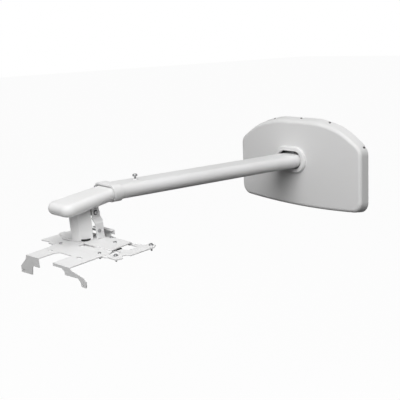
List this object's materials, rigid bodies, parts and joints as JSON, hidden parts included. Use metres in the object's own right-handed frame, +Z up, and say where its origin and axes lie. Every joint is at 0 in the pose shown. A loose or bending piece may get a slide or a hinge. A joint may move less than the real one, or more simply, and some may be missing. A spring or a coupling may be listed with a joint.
{
  "type": "projector wall mount",
  "caption": "Wall mount arm for a short throw projector: arched wall cover, flat oval arm, hinged head and a swivelling claw plate hung below it.",
  "frame": {"origin": "wall plane at the centre of the wall bolt pattern, on the arm axis", "axes": "+Y into the wall, -Y along the arm into the room, +Z up, +X to the right seen from the room"},
  "size_m": [0.418, 0.755, 0.2488],
  "materials": {
    "steel_plate": "satin",
    "white_plastic": "satin moulded",
    "white_coat": "fine powder coat",
    "grey_coat": "fine powder coat",
    "zinc": "zinc plated",
    "dark_screw": "black oxide",
    "black_rubber": "matt"
  },
  "bodies": {
    "wall": {"wall_plate": "steel_plate", "wall_cover": "white_plastic", "cover_screws": "dark_screw", "arm_socket": "steel_plate", "flange_bolts": "zinc", "arm_tube": "white_coat", "clamp_screws": "zinc", "end_collar": "white_coat", "level_nut": "white_coat"},
    "levelling": {"levelling_bolt": "zinc"},
    "swivel": {"pivot_block": "steel_plate"},
    "head": {"head_beam": "grey_coat", "tilt_pin": "zinc", "head_shell": "white_plastic", "head_screw": "zinc"},
    "hanger": {"bracket_right": "white_coat", "bracket_left": "white_coat", "foot_screws": "zinc", "tilt_bolt": "zinc", "lock_bolt": "zinc", "cross_bolt": "zinc", "post": "white_coat", "friction_washer": "black_rubber", "top_plate": "white_coat", "clamp_screw": "zinc"},
    "plate": {"frame_plate": "white_coat", "spindle": "steel_plate", "adapter_plate": "white_coat", "adapter_screws": "zinc", "frame_screws": "zinc", "slide_pad": "black_rubber"}
  },
  "joints": [
    {"name": "head_turn", "type": "hinge", "parent": "wall", "child": "swivel", "pos_m": [0, -0.556, 0], "axis": [0, 0, 1], "range_deg": [-2.5, 2.5]},
    {"name": "head_tilt", "type": "hinge", "parent": "swivel", "child": "head", "pos_m": [0, -0.556, 0], "axis": [0.9981, 0.061, 0], "range_deg": [-4.4, 1]},
    {"name": "level_screw", "type": "slide", "parent": "wall", "child": "levelling", "axis": [0, 0, 1], "range_m": [-0.005, 0.00115]},
    {"name": "hanger_tilt", "type": "hinge", "parent": "head", "child": "hanger", "pos_m": [0.00167, -0.60758, -0.03577], "axis": [0.9954, 0.0958, 0], "range_deg": [-5, 5]},
    {"name": "plate_swivel", "type": "hinge", "parent": "hanger", "child": "plate", "pos_m": [0.00864, -0.62785, -0.09464], "axis": [0.0062, -0.0642, 0.9979], "range_deg": [-8, 8]}
  ],
  "couplings": [
    {"joint": "level_screw", "follows": "head_tilt", "m_per_rad": 0.065}
  ]
}
